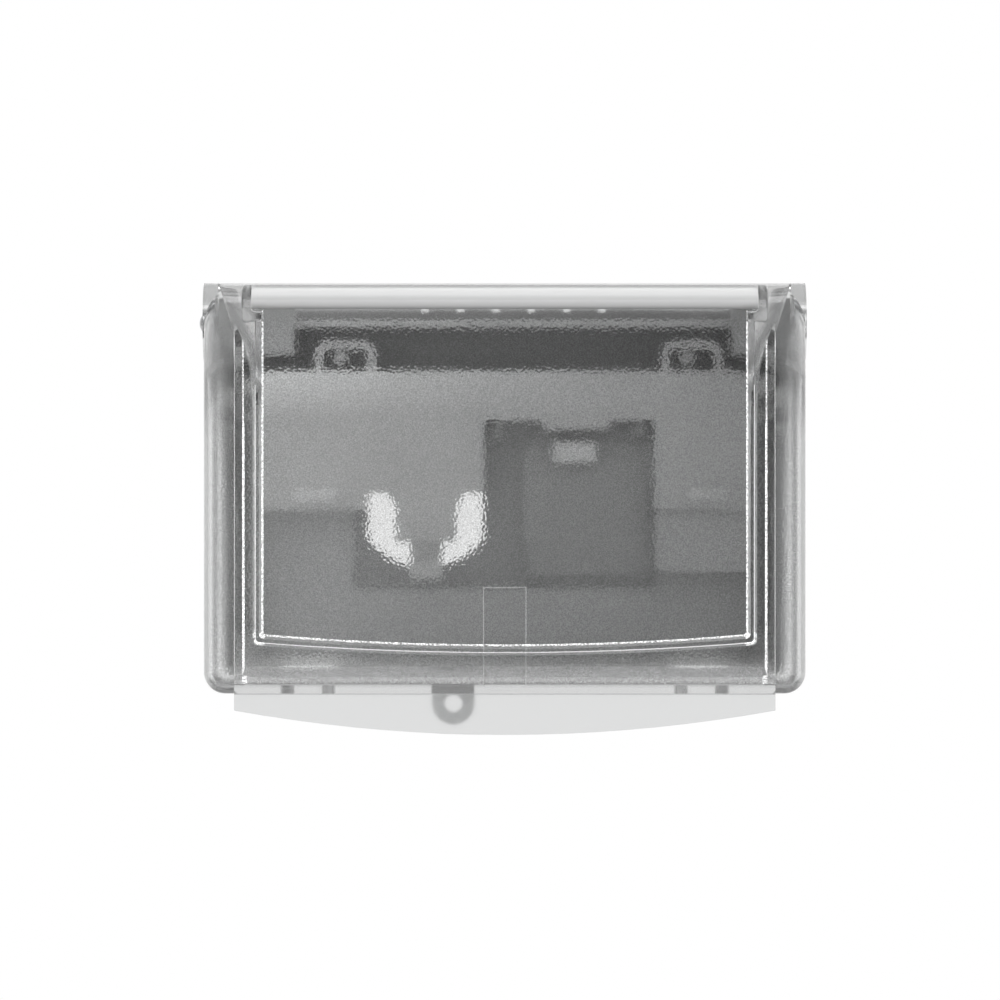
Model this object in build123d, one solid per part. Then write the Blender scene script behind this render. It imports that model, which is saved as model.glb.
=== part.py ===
from build123d import *

# Weatherproof in-use outlet cover for a duplex receptacle mounted sideways.
# X runs to the right, Z up, and -Y forward. The wall face is y = 0 and the receptacle's centre is
# x = z = 0. Depths are measured forward from the wall, so a depth of 60 is y = -60.
# All sizes are in millimetres.

import os
from dataclasses import dataclass
from math import acos, atan2, cos, hypot, radians, sin

# Standard sizes of the receptacle and of its box
opening_pitch = 38.9
opening_width = 28.5
opening_circle = 35.7
box_screw_pitch = 83.3
box_slot_width = 4.2
box_slot_length = 6.0

# Depth stack from the wall
gasket_thickness = 2.5
gasket_inset = 2.4
plate_thickness = 3.0
platform_height = 5.0
platform_skin = 2.5
rim_depth = 18.5
skirt_front = 60.0
first_tier_step = 4.0
window_tier_step = 4.0

# Base outline: its half width is taken at mid height, and most widths follow it
base_half = 69.4
base_top = 45.9
base_bottom = -45.9
base_taper = 0.5
base_taper_top = 2.0
base_swell = 0.6
base_swell_height = 17.0
base_flare = 1.8
base_corner_radius = 6.0
rim_side_wall = 3.6
rim_bottom_wall = 2.4
rim_top_wall = 1.8
rim_drop = 3.1
vent_count = 6
vent_pitch = 8.74
vent_width = 1.7
vent_depth = 0.75
vent_offset = 2.2

# Hinge
hinge_depth = 16.0
hinge_drop = 3.9
barrel_radius = 9.9
crown_angle = 78.0
pin_radius = 2.5
pin_length = 16.0
pin_dome = 1.2
pin_press_gap = 0.01
pin_running_gap = 0.06
pin_end_gap = 0.5
ear_overhang = 0.2
lug_side_gap = 0.4
lug_thickness = 3.5
lug_foot_gap = 0.1
knuckle_radius = 5.2
knuckle_reach = 5.2
left_ear_width = 18.4
right_ear_width = 14.3
ear_foot = 7.7

# Lid walls
lid_wall = 2.0
lid_back_gap = 0.5
skirt_overhang = 2.15
skirt_draft = 0.0463
skirt_drop = 1.3
skirt_bottom_draft = 0.0315
skirt_edge_radius = 5.0
skirt_corner_radius = 5.2
skirt_shoulder_drop = 28.0
shoulder_radius = 22.0
first_tier_inset = 7.4
first_tier_draft = 0.05
first_tier_shoulder_drop = 25.0
sill_cove_radius = 5.0
window_inset = 12.65
window_draft = 0.225
window_lift = 12.4
window_sag = 2.4
window_shoulder_radius = 8.0
hood_inset = 9.35
hood_draft = 0.05
hood_drop = 1.0
window_corner_radius = 1.2
tier_edge_radius = 0.4
inner_edge_radius = 1.2
inner_corner_radius = 1.25
apron_drop = 3.9
apron_sag = 5.8
label_pad_width = 10.0
label_pad_height = 12.6
label_pad_sink = 0.25

# Platform that carries the inserts
platform_side_margin = 8.8
platform_top_margin = 16.5
platform_bottom_margin = 6.6
platform_corner = 4.0
window_ledge = 1.6
ledge_thickness = 2.0
slot_boss_wall = 2.2
peg_radius = 1.78
peg_rise = 4.05
peg_tip_depth = 17.5
left_peg_shift = 1.25
right_peg_shift = 1.1

# Lock tab and cord exits
lock_x = -12.6
lock_drop = 5.45
lock_tab_radius = 5.2
lock_hole_radius = 2.2
cord_margin = 21.6
cord_width = 13.5
cord_depth = 11.0

# Inserts
insert_gap = 0.3
duplex_side_wall = 2.8
duplex_top_wall = 4.65
upper_front = 18.5
upper_side_gap = 0.6
upper_rise = 1.0
upper_bottom = -3.7
upper_corner = 3.0
insert_skin = 2.0
insert_wall = 1.6
notch_left = -5.04
notch_top = 18.1
notch_tab_left = 9.6
notch_tab_right = 25.3
notch_tab_drop = 2.0
arm_top = 0.6
tongue_left = -26.6
tongue_right = -11.9
tongue_end = -11.4
tongue_chamfer = 2.0
tongue_chamfer_height = 3.6
latch_left = -23.1
latch_right = -15.3
latch_end = -20.8
latch_depth = 14.5
latch_slot_width = 4.6
latch_slot_height = 0.7
latch_slot_sink = 1.0
latch_slot_z = -15.2
loop_wall = 2.0
loop_rise = 7.3
loop_corner = 3.4
loop_width = 14.9
left_loop_inset = 21.05
right_loop_inset = 14.25
bar_height = 2.8
bar_proud = 1.8
left_bar_inset = 8.6
left_bar_width = 10.7
right_bar_inset = 6.0
right_bar_width = 9.5
side_front = 17.0
side_bottom = -18.85
side_seam = 0.2
side_corner = 2.5
blank_overlap = 0.3
blank_right_gap = 0.4
blank_top = 13.3
blank_bottom = -19.7
blank_thickness = 2.0
blank_corner = 1.0
plug_gap = 0.1
pull_left = 11.9
pull_right = 22.4
pull_top = 12.9
pull_bottom = 8.0
pull_depth = 17.0
post_radius = 2.0
post_height = 3.5
post_z = 15.8
post_places = (-1.7, 33.2)

# Depths that follow from those above
plate_back = gasket_thickness
plate_front = plate_back + plate_thickness
platform_front = plate_front + platform_height
platform_back = platform_front - platform_skin
lid_back = plate_front + lid_back_gap
first_tier_front = skirt_front + first_tier_step
window_tier_front = first_tier_front + window_tier_step

# Widths that follow from the base's
ear_outer = base_half + ear_overhang
lug_inner = ear_outer + lug_side_gap
lug_outer = lug_inner + lug_thickness
right_pin_end = lug_outer
left_pin_end = lug_outer + pin_dome
skirt_half = base_half + skirt_overhang
first_tier_half = skirt_half - first_tier_inset
window_half = skirt_half - window_inset
hood_half = skirt_half - hood_inset
platform_half = base_half - platform_side_margin
cord_x = base_half - cord_margin
upper_half = platform_half - upper_side_gap
left_loop_x = left_loop_inset - upper_half
right_loop_x = upper_half - right_loop_inset
opening_radius = opening_circle / 2
duplex_half_width = (opening_pitch + opening_width) / 2 + duplex_side_wall
blank_left = (opening_pitch - opening_width) / 2 + blank_overlap
blank_right = duplex_half_width - blank_right_gap

# Heights that follow from the base's
hinge_height = base_top - hinge_drop
rim_top = base_top - rim_drop
lug_foot = hinge_height - barrel_radius - lug_foot_gap
ear_bottom = hinge_height - ear_foot
skirt_bottom = base_bottom - skirt_drop
window_bottom = skirt_bottom + window_lift
apron_corner = skirt_bottom - apron_drop
platform_top = base_top - platform_top_margin
platform_bottom = base_bottom + platform_bottom_margin
peg_height = platform_top + peg_rise
lock_height = base_bottom - lock_drop
upper_top = platform_top + upper_rise
loop_top = upper_top + loop_rise
duplex_half_height = opening_radius + duplex_top_wall
past = 1.0


def front_plane(depth):
    """Sketch plane parallel to the wall: x is X, y is Z, and its normal points forward."""
    return Plane.XZ.offset(depth)


def slab(sketch, back, front):
    """A front-view outline carried forward from one depth to another."""
    return extrude(front_plane(back) * sketch, front - back)


def panel(left, right, bottom, top):
    """A front-view rectangle given by its edges."""
    return Pos((left + right) / 2, (bottom + top) / 2) * Rectangle(right - left, top - bottom)


def rounded(sketch, radius, chosen=None):
    """The outline with the chosen corners rounded, or all of them."""
    return fillet(chosen(sketch.vertices()) if chosen else sketch.vertices(), radius)


def mirrored(shape):
    """The shape together with its mirror image in X."""
    return shape + mirror(shape, Plane.YZ)


def shaft(radius, left, right):
    """A round bar on the hinge axis."""
    start = Plane(origin=(left, -hinge_depth, hinge_height), z_dir=(1, 0, 0))
    return extrude(start * Circle(radius), right - left)


@dataclass
class Tier:
    """One nested level of the lid: the skirt box, the first tier, the window tier or its wide hood."""

    front: float
    half: float
    draft: float
    bottom: float
    bottom_draft: float
    sag: float
    shoulder: float
    shoulder_radius: float
    edge_radius: float
    corner_radius: float


skirt = Tier(skirt_front, skirt_half, skirt_draft, skirt_bottom, skirt_bottom_draft, 0,
             hinge_height - skirt_shoulder_drop, shoulder_radius, skirt_edge_radius, skirt_corner_radius)
first_tier = Tier(first_tier_front, first_tier_half, first_tier_draft,
                  skirt_bottom + first_tier_step * skirt_bottom_draft, skirt_bottom_draft, 0,
                  hinge_height - first_tier_shoulder_drop, shoulder_radius, tier_edge_radius,
                  window_corner_radius)
window_tier = Tier(window_tier_front, window_half, window_draft, window_bottom, window_draft,
                   window_sag, hinge_height, window_shoulder_radius, tier_edge_radius,
                   window_corner_radius)
hood = Tier(window_tier_front, hood_half, hood_draft, hinge_height - hood_drop, 0, 0, hinge_height,
            window_shoulder_radius, tier_edge_radius, window_corner_radius)


def side_outline(tier, inset, back):
    """A tier seen from the side: front face, shoulder arc, and a slope tangent to the barrel."""
    shoulder_y = -(tier.front - tier.shoulder_radius)
    front_radius = tier.shoulder_radius - inset
    back_radius = barrel_radius - inset
    run = -hinge_depth - shoulder_y
    rise = hinge_height - tier.shoulder
    tangent = atan2(rise, run) + acos((front_radius - back_radius) / hypot(run, rise))
    middle = (radians(180) + tangent) / 2

    def on_shoulder(angle):
        return shoulder_y + front_radius * cos(angle), tier.shoulder + front_radius * sin(angle)

    low = tier.bottom - barrel_radius
    front = -(tier.front - inset)
    on_barrel = (-hinge_depth + back_radius * cos(tangent), hinge_height + back_radius * sin(tangent))
    outline = [
        Line((-back, low), (front, low)),
        Line((front, low), (front, tier.shoulder)),
        ThreePointArc((front, tier.shoulder), on_shoulder(middle), on_shoulder(tangent)),
        Line(on_shoulder(tangent), on_barrel),
        Line(on_barrel, (-hinge_depth, hinge_height)),
        Line((-hinge_depth, hinge_height), (-back, hinge_height)),
        Line((-back, hinge_height), (-back, low)),
    ]
    return make_face(outline), -on_barrel[0]


def tier_plan(tier, inset, back):
    """A tier seen from above: its two drafted sides."""
    front = tier.front + past
    half = tier.half - inset
    half_back = half + tier.draft * (tier.front - back)
    half_front = half - tier.draft * past
    corners = Polyline((half_back, -back), (half_front, -front), (-half_front, -front),
                       (-half_back, -back), close=True)
    return extrude(make_face(corners), 2 * window_tier_front, both=True)


def above_floor(tier, inset, back):
    """The room above a tier's lower wall, which bows down by the sag and slopes down to the back."""
    floor = tier.bottom + inset + tier.bottom_draft * past
    half = tier.half - inset
    room = panel(-2 * lug_outer, 2 * lug_outer, floor - tier.sag, 2 * window_tier_front)
    if tier.sag:
        bow_radius = (half**2 + tier.sag**2) / (2 * tier.sag)
        room &= Pos(0, floor - tier.sag + bow_radius) * Circle(bow_radius)
    front = tier.front + past
    slope = hypot(1, tier.bottom_draft)
    return extrude(front_plane(front) * room, (front - back) * slope, dir=(0, 1, -tier.bottom_draft))


def tier_solid(tier, inset, back):
    """A tier as a solid block: drafted plan, side outline, rounded lower corners and front rim."""
    profile, barrel_depth = side_outline(tier, inset, back)
    block = extrude(Plane.YZ * profile, 2 * lug_outer, both=True)
    block = block & tier_plan(tier, inset, back) & above_floor(tier, inset, back)
    corners = block.edges().filter_by(lambda edge: abs(edge.tangent_at(0.5).Y) > 0.9)
    block = fillet(corners.sort_by(Axis.Z)[:2], max(tier.corner_radius - inset, inner_corner_radius))
    return fillet(rim_edges(block, profile, barrel_depth), max(tier.edge_radius - inset, inner_edge_radius))


def rim_edges(block, profile, barrel_depth):
    """The edges where a tier's front and shoulder meet its sides and its lower edge."""
    outline = profile.wire()

    def on_rim(edge):
        middle = edge @ 0.5
        across = abs(edge.tangent_at(0.5).X) > 0.7
        on_outline = outline.distance_to(Vector(middle.Y, middle.Z, 0)) < 0.01
        return on_outline and -middle.Y > barrel_depth + 0.01 and not (across and middle.Z > 0)

    return block.edges().filter_by(on_rim)


def bowed_apron():
    """The finger apron: the first tier's face carried down past the skirt to an arched edge."""
    half = first_tier_half
    top = skirt_bottom + 2 * lid_wall
    arc = ThreePointArc((-half, apron_corner), (0, apron_corner - apron_sag), (half, apron_corner))
    sides = Polyline((half, apron_corner), (half, top), (-half, top), (-half, apron_corner))
    return slab(make_face([arc, sides]), first_tier_front - lid_wall, first_tier_front)


def sill_cove():
    """The quarter-round that thickens the first tier inside its lower front edge."""
    centre_y = -(first_tier_front - lid_wall - sill_cove_radius)
    centre_z = first_tier.bottom + lid_wall + sill_cove_radius
    reach = sill_cove_radius + lid_wall / 2
    corner = Pos(centre_y - reach / 2, centre_z - reach / 2) * Rectangle(reach, reach)
    corner -= Pos(centre_y, centre_z) * Circle(sill_cove_radius)
    return extrude(Plane.YZ * corner, first_tier_half - lid_wall / 2, both=True)


def lock_lug(back, front, root):
    """A round-ended tab for the lock, hanging from the given height."""
    tab = Pos(lock_x, lock_height) * Circle(lock_tab_radius)
    tab += panel(lock_x - lock_tab_radius, lock_x + lock_tab_radius, lock_height, root)
    tab -= Pos(lock_x, lock_height) * Circle(lock_hole_radius)
    return slab(tab, back, front)


def cord_notches(back, front, bottom, top):
    """Round-fronted notches that let a cord out on each side, as cutters."""
    width = cord_width
    run = front - back - width / 2
    plan = Pos(cord_x, -(back + run / 2)) * Rectangle(width, run)
    plan += Pos(cord_x, -(back + run)) * Circle(width / 2)
    return mirrored(extrude(Plane.XY.offset(bottom) * plan, top - bottom))


def label_pads():
    """Two shallow flat pads in the middle of the lid, one on each tier, as cutters."""
    half = label_pad_width / 2
    window_pad = panel(-half, half, window_bottom - window_sag / 2, window_bottom + label_pad_height)
    first_pad = panel(-half, half, skirt_bottom + 2 * tier_edge_radius,
                      window_bottom - window_sag - 2 * tier_edge_radius)
    return (slab(window_pad, window_tier_front - label_pad_sink, window_tier_front + past)
            + slab(first_pad, first_tier_front - label_pad_sink, first_tier_front + past))


def make_lid():
    tiers = (skirt, first_tier, window_tier, hood)
    outside = shaft(barrel_radius, -lug_outer, lug_outer) + bowed_apron()
    inside = shaft(barrel_radius - lid_wall, -lug_inner, lug_inner)
    for tier in tiers:
        outside += tier_solid(tier, 0, lid_back)
        inside += tier_solid(tier, lid_wall, lid_back - past)
    inside -= sill_cove()
    crown_depth = hinge_depth + barrel_radius * cos(radians(crown_angle))
    behind_crown = slab(panel(-lug_inner, lug_inner, hinge_height, 2 * hinge_height), 0, crown_depth)
    lid = outside - inside - behind_crown
    lid += mirrored(shaft(barrel_radius, lug_inner, lug_outer))
    lid += lock_lug(lid_back, lid_back + lid_wall, skirt_bottom)
    lid -= mirrored(shaft(pin_radius + pin_running_gap, lug_inner - past, lug_outer + past))
    lid -= cord_notches(lid_back - past, lid_back + cord_depth, 2 * skirt_bottom, platform_bottom)
    return lid - label_pads()


def base_outline(side, bottom, top):
    """The base from the front, inset at its sides and bottom, stepped in beside the lid's lugs."""
    low = base_bottom + bottom
    half_width = base_half - side
    right = [
        Line((0, low), (half_width - base_taper, low)),
        Line((half_width - base_taper, low), (half_width, base_taper_top)),
        ThreePointArc((half_width, base_taper_top), (half_width + base_swell, base_swell_height),
                      (half_width + base_flare, lug_foot)),
        Polyline((half_width + base_flare, lug_foot), (ear_outer - side, lug_foot),
                 (ear_outer - side, top), (0, top), (0, low)),
    ]
    half = make_face(right)
    outline = half + mirror(half, Plane.YZ)
    corners = outline.vertices().sort_by(Axis.Y)[:2]
    return fillet(corners, base_corner_radius - side)


def platform_outline(inset):
    block = panel(-platform_half + inset, platform_half - inset,
                  platform_bottom + inset, platform_top - inset)
    return rounded(block, platform_corner - inset)


def hinge_ear(width):
    """A hinge ear, built on the right: a knuckle round the pin on a block from the wall plate."""
    knuckle = Pos(-hinge_depth, hinge_height) * Circle(knuckle_radius)
    front = -hinge_depth - knuckle_reach
    knuckle += panel(front, -plate_back, ear_bottom, hinge_height)
    knuckle += panel(-hinge_depth, -plate_back, ear_bottom, rim_top)
    return extrude(Plane.YZ.offset(ear_outer - width) * knuckle, width)


def pin_bore(outer):
    """The blind bore that holds a pin whose domed end is at x = outer, as a cutter."""
    inner = outer - pin_dome - pin_length - pin_end_gap
    return shaft(pin_radius + pin_press_gap, inner, ear_outer + past)


def make_base_frame():
    window = Rectangle(2 * (duplex_half_width + insert_gap), 2 * (duplex_half_height + insert_gap))
    through = Rectangle(2 * (duplex_half_width - window_ledge), 2 * (duplex_half_height - window_ledge))
    rim = base_outline(0, 0, rim_top)
    rim -= base_outline(rim_side_wall, rim_bottom_wall, rim_top - rim_top_wall)
    base = slab(base_outline(0, 0, base_top), plate_back, plate_front)
    base += slab(rim, plate_front, rim_depth)
    base += slab(platform_outline(0), plate_back, platform_front)
    base -= slab(platform_outline(platform_skin), plate_back - past, platform_back)
    ledge = offset(window, platform_skin, kind=Kind.INTERSECTION)
    base += slab(ledge, platform_back - ledge_thickness, platform_back)
    screws = GridLocations(box_screw_pitch, 0, 2, 1)
    boss = SlotOverall(box_slot_length + 2 * slot_boss_wall, box_slot_width + 2 * slot_boss_wall)
    hole = SlotOverall(box_slot_length, box_slot_width)
    for place in screws:
        base += slab(place * boss, plate_back, platform_back)
        base -= slab(place * hole, plate_back - past, platform_front + past)
    base -= slab(window, platform_back, platform_front + past)
    base -= slab(through, plate_back - past, platform_front)
    for peg_x in (left_loop_x - left_peg_shift, right_loop_x - right_peg_shift):
        base += slab(Pos(peg_x, peg_height) * Circle(peg_radius), plate_front, peg_tip_depth)
    base += hinge_ear(right_ear_width) + mirror(hinge_ear(left_ear_width), Plane.YZ)
    base -= pin_bore(right_pin_end) + mirror(pin_bore(left_pin_end), Plane.YZ)
    base += lock_lug(plate_back, plate_front, base_bottom + rim_bottom_wall)
    base -= cord_notches(plate_front, rim_depth + cord_width, base_bottom - past, platform_bottom)
    for index in range(vent_count):
        middle = vent_offset + (index - (vent_count - 1) / 2) * vent_pitch
        vent = panel(middle - vent_width / 2, middle + vent_width / 2, base_top - vent_depth,
                     base_top + past)
        base -= slab(vent, plate_back - past, plate_front + past)
    return base


def make_pin(outer):
    """A steel pin with a domed outer end at x = outer, pointing to the right."""
    sphere_radius = (pin_radius ** 2 + pin_dome ** 2) / (2 * pin_dome)
    shoulder = outer - pin_dome
    half = make_face([
        Polyline((shoulder, pin_radius), (shoulder - pin_length, pin_radius),
                 (shoulder - pin_length, 0), (outer, 0)),
        RadiusArc((shoulder, pin_radius), (outer, 0), sphere_radius),
    ])
    pin = revolve(Plane.XZ * half, Axis.X)
    return Pos(0, -hinge_depth, hinge_height) * pin


def make_gasket():
    ring = base_outline(gasket_inset, gasket_inset, base_top - gasket_inset)
    ring -= platform_outline(0)
    return slab(ring, 0, gasket_thickness)


def receptacle_face(inset):
    """The right-hand receptacle face: a circle cut flat at the left and right."""
    radius = opening_radius - inset
    return Pos(opening_pitch / 2, 0) * (Circle(radius) & Rectangle(opening_width - 2 * inset, 2 * radius))


def make_duplex_insert():
    plate = Rectangle(2 * duplex_half_width, 2 * duplex_half_height) - mirrored(receptacle_face(0))
    insert = slab(plate, platform_back, platform_front)
    for post_x in post_places:
        post = Pos(post_x, post_z) * Circle(post_radius)
        insert += slab(post, platform_front, platform_front + post_height)
    return insert


def tray(outline, front, wall=insert_wall):
    """A snap-in cap: a skin with a flange all round that stands on the platform."""
    hollow = offset(outline, -wall, kind=Kind.INTERSECTION)
    return slab(outline, platform_front, front) - slab(hollow, platform_front - past, front - insert_skin)


def upper_outline():
    """The upper insert from the front: arms cut beside the tongue and a notch on the right."""
    left_edge = -opening_pitch / 2 - opening_width / 2 - insert_gap
    outline = rounded(panel(-upper_half, upper_half, upper_bottom, upper_top), upper_corner,
                      lambda corners: corners.sort_by(Axis.Y)[2:])
    outline -= panel(notch_left, duplex_half_width, upper_bottom - past, notch_top)
    outline += panel(notch_tab_left, notch_tab_right, notch_top - notch_tab_drop, notch_top + past)
    outline -= panel(left_edge, notch_left, upper_bottom - past, arm_top)
    tongue = make_face(Polyline(
        (tongue_left - tongue_chamfer, arm_top), (tongue_left, arm_top - tongue_chamfer_height),
        (tongue_left, tongue_end), (tongue_right, tongue_end),
        (tongue_right, arm_top - tongue_chamfer_height), (tongue_right + tongue_chamfer, arm_top),
        (tongue_right + tongue_chamfer, arm_top + past), (tongue_left - tongue_chamfer, arm_top + past),
        close=True))
    return outline + tongue


def loop(middle):
    """A flat handle loop standing on the upper insert's top edge."""
    half = loop_width / 2
    ring = rounded(panel(middle - half, middle + half, upper_top - past, loop_top), loop_corner,
                   lambda corners: corners.sort_by(Axis.Y)[2:])
    eye = rounded(panel(middle - half + loop_wall, middle + half - loop_wall, upper_top,
                        loop_top - loop_wall), loop_corner - loop_wall,
                  lambda corners: corners.sort_by(Axis.Y)[2:])
    return slab(ring - eye, upper_front - insert_skin, upper_front)


def make_upper_insert():
    insert = tray(upper_outline(), upper_front)
    insert += loop(left_loop_x) + loop(right_loop_x)
    latch = slab(panel(latch_left, latch_right, latch_end, tongue_end), platform_front, latch_depth)
    groove_x = (latch_left + latch_right) / 2
    groove = Pos(groove_x, latch_slot_z) * Rectangle(latch_slot_width, latch_slot_height)
    latch -= slab(groove, latch_depth - latch_slot_sink, latch_depth + past)
    insert += latch
    left_bar_x = left_bar_inset + left_bar_width / 2 - upper_half
    right_bar_x = upper_half - right_bar_inset - right_bar_width / 2
    for bar_x, width in ((left_bar_x, left_bar_width), (right_bar_x, right_bar_width)):
        bar = rounded(Pos(bar_x, 0) * Rectangle(width, bar_height), bar_height / 3)
        insert += slab(bar, upper_front - insert_skin, upper_front + bar_proud)
    return insert


def make_side_insert():
    outline = rounded(panel(duplex_half_width, upper_half, side_bottom, upper_bottom - side_seam),
                      side_corner, lambda corners: corners.sort_by(Axis.Y)[:2])
    return tray(outline, side_front)


def make_blanking_insert():
    """A plug for the right opening under a cap with a pull tab."""
    outline = rounded(panel(blank_left, blank_right, blank_bottom, blank_top), blank_corner)
    front = platform_front + blank_thickness
    blank = slab(outline, platform_front, front)
    blank += slab(receptacle_face(plug_gap), platform_back, platform_front)
    return blank + slab(panel(pull_left, pull_right, pull_bottom, pull_top), front, pull_depth)


def write_part(name, shape):
    export_step(shape, f"parts/{name}.step")


os.makedirs("parts", exist_ok=True)
write_part("lid", make_lid())
write_part("base_frame", make_base_frame())
write_part("hinge_pin_right", make_pin(right_pin_end))
write_part("hinge_pin_left", mirror(make_pin(left_pin_end), Plane.YZ))
write_part("gasket", make_gasket())
write_part("duplex_insert", make_duplex_insert())
write_part("upper_insert", make_upper_insert())
write_part("side_insert", make_side_insert())
write_part("blanking_insert", make_blanking_insert())
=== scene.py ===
import math

import bpy
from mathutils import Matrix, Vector

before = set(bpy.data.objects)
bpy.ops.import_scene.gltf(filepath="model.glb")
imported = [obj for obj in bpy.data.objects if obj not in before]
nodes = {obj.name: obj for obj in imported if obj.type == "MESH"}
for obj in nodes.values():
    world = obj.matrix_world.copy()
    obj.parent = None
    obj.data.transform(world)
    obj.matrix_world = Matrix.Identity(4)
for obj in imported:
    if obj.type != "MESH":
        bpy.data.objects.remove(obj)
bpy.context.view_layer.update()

# Places on the cover are in millimetres: x and z as seen from the front, and depth forward of the wall.
# Depths of the lid's rounded rims, each range a little past the rim.
WINDOW_RIM = (66.6, 68.1)
WINDOW_INSIDE = (62.2, 66.1)
TIER_RIM = (62.4, 64.1)
TIER_INSIDE = (58.1, 62.1)
SILL_INSIDE = (60.4, 62.1)
SKIRT_CORNER = (50.0, 60.1)

# Depths that single out a part of the lid: its lock is behind the first, and the others have the named
# part in front of them.
LOCK_FRONT = 10.0
HOOD_BACK = 45.0
FRONT_BACK = 50.0
MARKS_BACK = 57.0
ROLL_BACK = 59.0

# Half widths on the lid.
WINDOW_HALF = 58.6
ROLL_HALF = 60.0
COVE_HALF = 61.2
TIER_WALL_INSIDE = (60.9, 62.9)
TIER_WALL_OUTSIDE = (62.9, 65.0)
TIER_HALF = 64.2
SKIRT_FACE_START = 65.2
PEBBLED_HALF = 70.5

# Heights on the lid.
SHOULDER = 17.0
HOOD_TOP = 48.0
ROLL_FOOT = 43.9
ROLL_CROWN = 49.6
PEBBLES_FADE = 38.9
RIM_LINES_TOP = 41.0
WINDOW_LINE_TOP = 26.0
WINDOW_HEIGHTS = (-37.3, 44.1)
SILL_TOP = -39.0
COVE_TOP = -39.9
FOOT_BAND = (-47.4, -44.8)
LOCK_TOP = -48.6

# Marks on the lid: the thin edge of the label pad, and the rings that ejector pins leave.
LABEL_PAD_HALF = 5.0
LABEL_PAD_HEIGHTS = (-45.3, -21.9)
LABEL_PAD_LINE = 0.28
EJECTOR_MARKS = ((25.2, -38.9), (-26.6, -39.4), (-67.2, -39.8), (66.0, 28.4), (65.9, -6.0), (-66.2, -6.0),
                 (-66.2, 28.4))
EJECTOR_RADIUS = 2.8
EJECTOR_LINE = 0.35

# Places on the grey parts.
PLATE_FACE = (5.3, 5.7)
RIM_FACE = (17.5, 19.0)
RIM_INNER_HALF = 66.0
RIM_UPPER_EDGE = (40.0, 43.5)
LOCK_TAB_TOP = -48.9
CHANNEL_HALF = (55.0, 63.0)
CHANNEL_BOTTOM = -45.5
CHANNEL_TOP = 29.0
LOW_CHANNEL_TOP = -34.0
TRAY_EDGE_DEPTHS = (17.0, 18.8)
TRAY_EDGE_HEIGHTS = (19.0, 31.0)
BAR_DEPTHS = (19.0, 20.5)
BAR_HEIGHTS = (-1.6, 1.6)
TAB_FACE = 16.0
PALE_SPOTS = ((-1.6, 15.4), (33.1, 15.9))
PALE_SPOT_RADIUS = 2.24

# How strong the glow is at each place on the lid, tuned to the photo.
INNER_RIM_GLOW = 1.25
OUTER_RIM_GLOW = 0.75
CORNER_GLOW = 0.3
LOCK_GLOW = 0.13
ROLL_GLOW = 0.22

# The camera's place in metres and its focal length in sensor widths, fitted to the photo.
CAMERA_PLACE = (-0.00113, -1.5, -0.00123)
CAMERA_FOCAL_RATIO = 6.06
SENSOR_WIDTH = 36

# Light runs along inside the clear walls, which takes many turns before it leaves.
LIGHT_BOUNCES = 12


class Field:
    """A value that varies over a surface: a shader socket, and the Math nodes that work on it."""

    def __init__(self, tree, socket):
        self.tree = tree
        self.socket = socket

    def into(self, entry):
        """Feeds the value to a node's input."""
        self.tree.links.new(self.socket, entry)

    def apply(self, operation, *values):
        node = self.tree.nodes.new("ShaderNodeMath")
        node.operation = operation
        for entry, value in zip(node.inputs, (self, *values)):
            if isinstance(value, Field):
                value.into(entry)
            else:
                entry.default_value = value
        return Field(self.tree, node.outputs[0])

    def __add__(self, other):
        return self.apply("ADD", other)

    def __sub__(self, other):
        return self.apply("SUBTRACT", other)

    def __mul__(self, other):
        return self.apply("MULTIPLY", other)

    def __abs__(self):
        return self.apply("ABSOLUTE")

    def root(self):
        return self.apply("SQRT")

    def line(self, slope, start):
        """The value times a slope, plus a start."""
        return self.apply("MULTIPLY_ADD", slope, start)

    def rest(self):
        """What is left of 1."""
        return self.line(-1.0, 1.0)

    def above(self, limit):
        """1 over a limit, and 0 elsewhere."""
        return self.apply("GREATER_THAN", limit)

    def below(self, limit):
        """1 under a limit, and 0 elsewhere."""
        return self.apply("LESS_THAN", limit)

    def between(self, low, high):
        """1 inside a range, and 0 elsewhere."""
        return abs(self - (low + high) / 2).below((high - low) / 2)

    def larger(self, other):
        return self.apply("MAXIMUM", other)

    def smaller(self, other):
        return self.apply("MINIMUM", other)

    def fade(self, none, full, most=1.0):
        """0 at one value, rising evenly to the most at another, and level beyond them."""
        slope = most / (full - none)
        return self.line(slope, -none * slope).larger(0.0).smaller(most)


def new_material(name):
    """A material with its Principled shader and its object coordinates, which are the frame's, in metres."""
    mat = bpy.data.materials.new(name)
    mat.use_nodes = True
    tree = mat.node_tree
    where = Field(tree, tree.nodes.new("ShaderNodeTexCoord").outputs["Object"])
    return mat, tree.nodes["Principled BSDF"], where


def separated(vector):
    """The three parts of a vector."""
    node = vector.tree.nodes.new("ShaderNodeSeparateXYZ")
    vector.into(node.inputs[0])
    return [Field(vector.tree, output) for output in node.outputs]


def places(where):
    """X, the depth forward of the wall, and Z, all in millimetres."""
    x, y, z = separated(where)
    return x * 1000, y * -1000, z * 1000


def noise(where, scale, detail=2.0):
    node = where.tree.nodes.new("ShaderNodeTexNoise")
    node.inputs["Scale"].default_value = scale
    node.inputs["Detail"].default_value = detail
    where.into(node.inputs["Vector"])
    return Field(where.tree, node.outputs["Fac"])


def ramp(source, *stops):
    """A ramp from (position, colour or grey) pairs."""
    node = source.tree.nodes.new("ShaderNodeValToRGB")
    elements = node.color_ramp.elements
    while len(elements) < len(stops):
        elements.new(0.5)
    for element, (position, colour) in zip(elements, stops):
        element.position = position
        if not isinstance(colour, tuple):
            colour = (colour, colour, colour)
        element.color = (*colour, 1.0)
    source.into(node.inputs["Fac"])
    return Field(source.tree, node.outputs["Color"])


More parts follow.
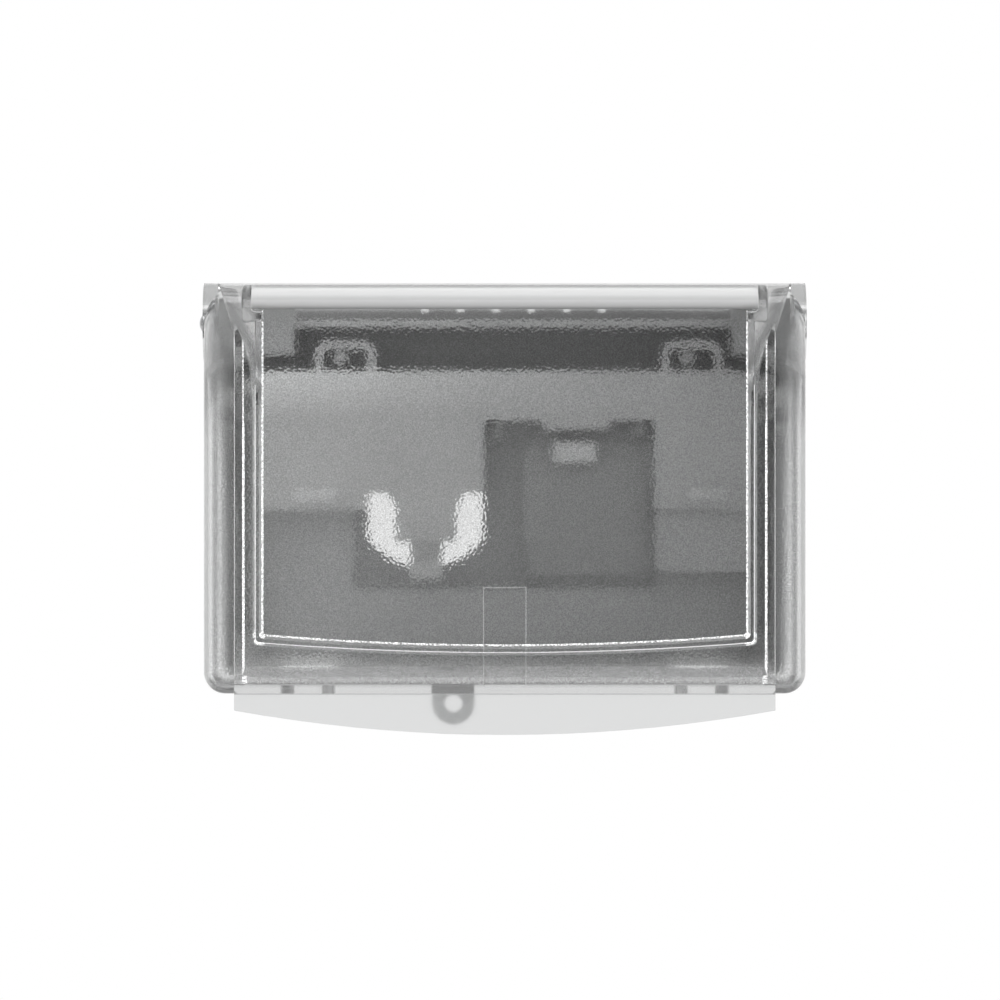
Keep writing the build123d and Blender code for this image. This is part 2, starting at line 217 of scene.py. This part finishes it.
def tinted(colour, factor):
    """A grey factor laid over a colour."""
    mix = colour.tree.nodes.new("ShaderNodeMix")
    mix.data_type = "RGBA"
    mix.blend_type = "MULTIPLY"
    mix.inputs["Factor"].default_value = 1.0
    colour.into(mix.inputs["A"])
    factor.into(mix.inputs["B"])
    return Field(colour.tree, mix.outputs["Result"])


def bump(shader, height, distance, under=None):
    """Relief from a height of 0 to 1 and its distance in metres, over the normals given or the surface's."""
    node = height.tree.nodes.new("ShaderNodeBump")
    node.inputs["Strength"].default_value = 1.0
    node.inputs["Distance"].default_value = distance
    height.into(node.inputs["Height"])
    if under is not None:
        under.into(node.inputs["Normal"])
    Field(height.tree, node.outputs["Normal"]).into(shader.inputs["Normal"])


def squared_distance(x, z, centre):
    dx, dz = x - centre[0], z - centre[1]
    return dx * dx + dz * dz


def ring_line(x, z, centre):
    """1 on an ejector pin's thin ring."""
    away = squared_distance(x, z, centre).root()
    return away.between(EJECTOR_RADIUS - EJECTOR_LINE / 2, EJECTOR_RADIUS + EJECTOR_LINE / 2)


def pad_line(x, z):
    """1 on the thin edge of the label pad."""
    bottom, top = LABEL_PAD_HEIGHTS
    side = abs(x) - LABEL_PAD_HALF
    height = abs(z - (bottom + top) / 2) - (top - bottom) / 2
    return side.larger(height).between(-LABEL_PAD_LINE / 2, LABEL_PAD_LINE / 2)


def crisp_rims(x, depth, z):
    """Normals that keep the lid's rounded rims flat nearly to the corner, and masks of the lines left there.

    The outer rims leave thin lines and the inner ones thick lines. The last value is how squarely the
    surface faces front or back, from 0 to 1.
    """
    tree = x.tree
    normal_x, normal_y, normal_z = separated(
        Field(tree, tree.nodes.new("ShaderNodeTexCoord").outputs["Normal"]))
    wide, square_on, sideways = abs(x), abs(normal_y), abs(normal_x)

    below_shoulder = z.below(SHOULDER)
    off_cove = z.above(COVE_TOP).larger(wide.above(COVE_HALF))
    window_rim = depth.between(*WINDOW_RIM)
    window_inside = wide.below(WINDOW_HALF) * z.between(*WINDOW_HEIGHTS) * depth.between(*WINDOW_INSIDE)
    tier_rim = depth.between(*TIER_RIM) * below_shoulder
    tier_inside = depth.between(*TIER_INSIDE) * off_cove * below_shoulder * wide.between(*TIER_WALL_INSIDE)
    sill_inside = depth.between(*SILL_INSIDE) * off_cove * z.below(SILL_TOP)
    # Over the shoulder the lines run along the tier's side walls.
    over_shoulder = depth.above(HOOD_BACK) * z.between(SHOULDER, HOOD_TOP)
    outer_side = over_shoulder * wide.between(*TIER_WALL_OUTSIDE)
    inner_side = over_shoulder * wide.between(*TIER_WALL_INSIDE)

    # These limits say how far round each rim stays flat, and the same limits end the lines beside them.
    outer_limit, window_limit, tier_limit, outer_side_limit, inner_side_limit = 0.6, 0.8, 0.82, 0.8, 0.66
    flat = ((window_rim + tier_rim) * square_on.above(outer_limit)).larger(
        window_inside * square_on.above(window_limit))
    flat = flat.larger(tier_inside.larger(sill_inside) * square_on.above(tier_limit))
    flat = flat * z.below(WINDOW_HEIGHTS[1])
    flat_side = (outer_side * sideways.below(outer_side_limit)).larger(
        inner_side * sideways.below(inner_side_limit))
    # The skirt's round corner reads as gentler near its face than the true arc that the CAD has.
    skirt_corner = depth.between(*SKIRT_CORNER) * wide.above(SKIRT_FACE_START)
    flat_side = flat_side.larger(skirt_corner * wide.fade(none=70.4, full=66.25))

    # Where these lines lie, the lid paints a glow.
    tier_line = (tier_rim * square_on.between(0.25, outer_limit)).larger(
        outer_side * sideways.between(outer_side_limit, 0.96))
    window_line = window_rim * square_on.between(0.26, outer_limit) * z.below(WINDOW_LINE_TOP)
    thin = (tier_line * 0.2).larger(window_line * 0.8)
    thick = (window_inside * square_on.between(0.24, window_limit)).larger(
        tier_inside * square_on.between(0.1, tier_limit))
    thick = thick.larger(inner_side * sideways.between(inner_side_limit, 0.94))
    under_hinge = z.below(RIM_LINES_TOP)

    bent = tree.nodes.new("ShaderNodeCombineXYZ")
    (normal_x * flat.larger(flat_side).rest()).into(bent.inputs["X"])
    normal_y.into(bent.inputs["Y"])
    (normal_z * flat.rest()).into(bent.inputs["Z"])
    turned = tree.nodes.new("ShaderNodeVectorTransform")
    turned.vector_type = "NORMAL"
    turned.convert_from = "OBJECT"
    turned.convert_to = "WORLD"
    Field(tree, bent.outputs[0]).into(turned.inputs[0])
    return Field(tree, turned.outputs[0]), thin * under_hinge, thick * under_hinge, square_on


def clear_plastic():
    """Clear polycarbonate, a little smoky, with a pebbled skin, ejector marks and label pad edges, and
    painted glints, shade and glow.
    """
    mat, shader, where = new_material("pebbled_clear_plastic")
    x, depth, z = places(where)
    wide = abs(x)
    normal, thin, thick, square_on = crisp_rims(x, depth, z)

    # The apron, the hinge lugs and the rolled top are smooth.
    pebbled = wide.below(PEBBLED_HALF) * z.between(FOOT_BAND[1], ROLL_FOOT)
    pebbled = pebbled * z.fade(none=ROLL_FOOT, full=PEBBLES_FADE)
    # Painted glints: a fine speckle in the smoky tint stands in for the pebbled skin catching the light.
    glint_speckle = ((noise(where, 3600, detail=0.0) - 0.5) * pebbled).line(1.4, 0.5)
    clear = ramp(glint_speckle, (0.3, (0.62, 0.625, 0.625)), (0.7, (0.9, 0.905, 0.905)))
    # In the photo the roll over the hinge is hazier than the rest, and greyer towards its foot.
    facing_front = (square_on * 1.6).smaller(1.0)
    roll = z.above(ROLL_FOOT) * wide.below(ROLL_HALF) * depth.above(ROLL_BACK) * facing_front
    # Painted shade darkens the roll's tint, most at its foot and fading up the roll; a band along its crown
    # and the foot band at the bottom of the front are darkened too.
    shade = z.fade(none=49.2, full=44.0, most=0.62).larger(z.above(ROLL_CROWN) * 0.35)
    foot = z.between(*FOOT_BAND) * depth.above(FRONT_BACK)
    clear = tinted(clear, (roll * shade + foot * 0.22).rest())
    clear.into(shader.inputs["Base Color"])

    # The skirt's face and the sill are coarser than the window.
    coarse = wide.fade(none=64.6, full=66.6).larger(z.fade(none=-38.0, full=-44.7)) * pebbled
    fleck = noise(where, 2200, detail=0.0)
    marks = pad_line(x, z)
    for centre in EJECTOR_MARKS:
        marks = marks.larger(ring_line(x, z, centre) * 0.4)
    marks = marks * depth.above(MARKS_BACK)
    milky = marks * 0.22 + coarse * fleck * 0.45 * wide.below(TIER_HALF)
    milky = (foot * 0.5 + roll) * 0.5 + milky
    milky.rest().into(shader.inputs["Transmission Weight"])

    # In a real lid light runs along inside the walls and comes out at the rims, the skirt's corner, the lock
    # and the roll. A faint glow, tuned to the photo, stands in for it.
    glint = fleck.line(2.0, -0.45).larger(0.0)
    corner = wide.fade(none=69.3, full=71.0) * square_on.above(0.12) * depth.above(FRONT_BACK)
    corner = corner * z.fade(none=30.0, full=13.3)
    lock = depth.below(LOCK_FRONT) * z.below(LOCK_TOP)
    crown = z.fade(none=44.3, full=47.4, most=ROLL_GLOW)
    glow = thick * glint * INNER_RIM_GLOW + thin * OUTER_RIM_GLOW + corner * CORNER_GLOW
    glow = glow + lock * glint * LOCK_GLOW + roll * crown
    shader.inputs["Emission Color"].default_value = (1, 1, 1, 1)
    glow.into(shader.inputs["Emission Strength"])

    shader.inputs["IOR"].default_value = 1.5
    skin = ramp(noise(where, 60), (0.3, 0.08), (0.7, 0.11))
    coarse.line(0.14, skin).into(shader.inputs["Roughness"])
    bump(shader, noise(where, 1600, detail=0.0) * pebbled, 0.00003, under=normal)
    # The glow is faint, so it isn't sampled as a lamp.
    mat.cycles.emission_sampling = "NONE"
    return mat


def moulded_plastic(name, low, high, tones=None):
    """Satin moulded plastic: painted light that makes it paler to the left, a fine skin, and the tones of its
    places.
    """
    mat, shader, where = new_material(name)
    # In the photo the left of the parts is paler than the right.
    # This is painted light, as if the light were stronger from the left.
    light_and_tones = places(where)[0].line(-0.0045, 1.12)
    if tones is not None:
        light_and_tones = light_and_tones * tones(where)
    colour = ramp(noise(where, 45, detail=5), (0.3, low), (0.7, high))
    tinted(colour, light_and_tones).into(shader.inputs["Base Color"])
    ramp(noise(where, 180, detail=3), (0.3, 0.44), (0.7, 0.56)).into(shader.inputs["Roughness"])
    bump(shader, noise(where, 3500, detail=2), 0.00002)
    return mat


def tray_tones(where):
    """Painted highlights make the bars stand out, and painted light makes the tray's rolled top edge lighter
    towards the left.
    """
    x, depth, z = places(where)
    on_bar = depth.between(*BAR_DEPTHS) * z.between(*BAR_HEIGHTS)
    rolled = depth.between(*TRAY_EDGE_DEPTHS) * z.between(*TRAY_EDGE_HEIGHTS)
    rolled = rolled * z.fade(none=TRAY_EDGE_HEIGHTS[0], full=39.0)
    rolled = rolled * x.line(-0.02, 1.0).larger(0.0)
    return (on_bar * 0.5).larger(rolled).line(0.5, 1.0)


def base_tones(where):
    """Tones of the base's plate and rim, tuned to how they look through the lid in the photo."""
    x, depth, z = places(where)
    wide = abs(x)
    plate, rim = depth.between(*PLATE_FACE), depth.between(*RIM_FACE)
    # Painted light makes the lock's tab paler, and speckled, where the lid's own tab lies on it.
    fleck = noise(where, 1500, detail=1.0).line(1.6, 0.3)
    lock = (plate * z.below(LOCK_TAB_TOP)).line(fleck, 1.0)
    # The plate behind the rolled top is in its painted shade, and painted light makes the channel round the
    # platform paler.
    shaded = plate * z.above(CHANNEL_TOP) * wide.below(RIM_INNER_HALF)
    channel = (wide.between(*CHANNEL_HALF) * z.between(CHANNEL_BOTTOM, CHANNEL_TOP)).larger(
        z.between(CHANNEL_BOTTOM, LOW_CHANNEL_TOP))
    # The rim's left face is in the lid's shade on its inner side, and its upper edge catches the light.
    left_rim = rim * x.below(-RIM_INNER_HALF) * wide.fade(none=71.25, full=68.4, most=0.45)
    upper_edge = rim * z.between(*RIM_UPPER_EDGE)
    return (lock * shaded.line(-0.55, 1.0) * (plate * channel).line(0.9, 1.0) * left_rim.rest()
            * upper_edge.line(0.35, 1.0))


def cap_tones(where):
    """A painted highlight makes the pull tab's face lighter than the cap behind it."""
    return places(where)[1].above(TAB_FACE).line(0.8, 1.0)


def plate_tones(where):
    """Two soft round paler spots in the upper corners of the notch."""
    x, depth, z = places(where)
    left, right = (squared_distance(x, z, centre).line(-1 / PALE_SPOT_RADIUS ** 2, 1.0).larger(0.0)
                   for centre in PALE_SPOTS)
    return (left + right).line(0.45, 1.0)


def drawn_steel():
    """Steel with fine lines along the pins."""
    mat, shader, where = new_material("drawn_steel")
    stretch = where.tree.nodes.new("ShaderNodeMapping")
    stretch.inputs["Scale"].default_value = (0.05, 1, 1)
    where.into(stretch.inputs["Vector"])
    lines = noise(Field(where.tree, stretch.outputs["Vector"]), 6000, detail=3)
    shader.inputs["Metallic"].default_value = 1.0
    ramp(lines, (0.3, (0.6, 0.6, 0.61)), (0.7, (0.78, 0.78, 0.79))).into(shader.inputs["Base Color"])
    ramp(lines, (0.3, 0.18), (0.7, 0.3)).into(shader.inputs["Roughness"])
    bump(shader, lines, 0.00001)
    return mat


def foam():
    """Closed-cell foam with small pores."""
    mat, shader, where = new_material("cell_foam")
    cells = where.tree.nodes.new("ShaderNodeTexVoronoi")
    cells.inputs["Scale"].default_value = 1800
    where.into(cells.inputs["Vector"])
    pores = Field(where.tree, cells.outputs["Distance"])
    ramp(pores, (0.0, 0.32), (0.6, 0.5)).into(shader.inputs["Base Color"])
    shader.inputs["Roughness"].default_value = 0.85
    bump(shader, pores, 0.00015)
    return mat


def dress(mat, *names):
    """Gives a material to CAD nodes."""
    for name in names:
        for slot in nodes[name].material_slots:
            slot.material = mat


def area_light(name, place, size, watts):
    """A rectangular lamp in metres, turned towards the cover."""
    data = bpy.data.lights.new(name, "AREA")
    data.shape = "RECTANGLE"
    data.size, data.size_y = size
    data.energy = watts
    obj = bpy.data.objects.new(name, data)
    obj.location = place
    obj.rotation_euler = (-Vector(place)).to_track_quat("-Z", "Y").to_euler()
    bpy.context.scene.collection.objects.link(obj)


def studio_light():
    """White all round to the camera; the part itself sees a white backdrop, a dim room and a ring lamp."""
    world = bpy.data.worlds.new("studio")
    bpy.context.scene.world = world
    world.use_nodes = True
    tree = world.node_tree
    towards = separated(Field(tree, tree.nodes.new("ShaderNodeTexCoord").outputs["Generated"]))[1]
    room = ramp(towards.line(0.5, 0.5), (0.004, 0.45), (0.006, 2.6), (0.014, 2.6), (0.018, 0.5), (0.80, 0.42),
                (0.955, 1.0))
    paths = tree.nodes.new("ShaderNodeLightPath")
    mix = tree.nodes.new("ShaderNodeMix")
    mix.data_type = "RGBA"
    tree.links.new(paths.outputs["Is Camera Ray"], mix.inputs["Factor"])
    room.into(mix.inputs["A"])
    mix.inputs["B"].default_value = (1, 1, 1, 1)
    tree.links.new(mix.outputs["Result"], tree.nodes["Background"].inputs["Color"])
    tree.nodes["Background"].inputs["Strength"].default_value = 1.0


def stage_floor():
    """A pale floor under the cover, in metres."""
    left, right, front, back, height = -1.2, 1.2, -1.0, 0.8, -0.2
    mesh = bpy.data.meshes.new("studio_floor")
    corners = [(left, front, height), (right, front, height), (right, back, height), (left, back, height)]
    mesh.from_pydata(corners, [], [(0, 1, 2, 3)])
    obj = bpy.data.objects.new("studio_floor", mesh)
    bpy.context.scene.collection.objects.link(obj)
    mat, shader, where = new_material("studio_floor")
    ramp(noise(where, 3), (0.3, 0.86), (0.7, 0.9)).into(shader.inputs["Base Color"])
    shader.inputs["Roughness"].default_value = 0.9
    mesh.materials.append(mat)


def aim_camera():
    camera = bpy.data.cameras.new("camera")
    camera.sensor_width = SENSOR_WIDTH
    camera.lens = SENSOR_WIDTH * CAMERA_FOCAL_RATIO
    camera.clip_start = 0.05
    camera_object = bpy.data.objects.new("camera", camera)
    camera_object.location = CAMERA_PLACE
    camera_object.rotation_euler = (math.radians(90), 0, 0)
    bpy.context.scene.collection.objects.link(camera_object)
    bpy.context.scene.camera = camera_object


dress(clear_plastic(), "lid")
dress(moulded_plastic("base_plastic", 0.44, 0.48, tones=base_tones), "base_frame")
dress(moulded_plastic("tray_plastic", 0.54, 0.58, tones=tray_tones), "upper_insert")
dress(moulded_plastic("filler_plastic", 0.48, 0.52), "side_insert")
dress(moulded_plastic("plate_plastic", 0.30, 0.34, tones=plate_tones), "duplex_insert")
dress(moulded_plastic("cap_plastic", 0.34, 0.38, tones=cap_tones), "blanking_insert")
dress(drawn_steel(), "hinge_pin_left", "hinge_pin_right")
dress(foam(), "gasket")

stage_floor()
studio_light()
area_light("left_box", (-1.3, -0.8, 0.3), (0.9, 1.4), 14)
area_light("right_box", (1.3, -0.8, 0.3), (0.9, 1.4), 9)
area_light("top_box", (0, -1.1, 1.3), (1.4, 0.8), 6)
bpy.context.scene.view_settings.view_transform = "Standard"
for limit in ("max_bounces", "glossy_bounces", "transmission_bounces"):
    setattr(bpy.context.scene.cycles, limit, LIGHT_BOUNCES)
aim_camera()
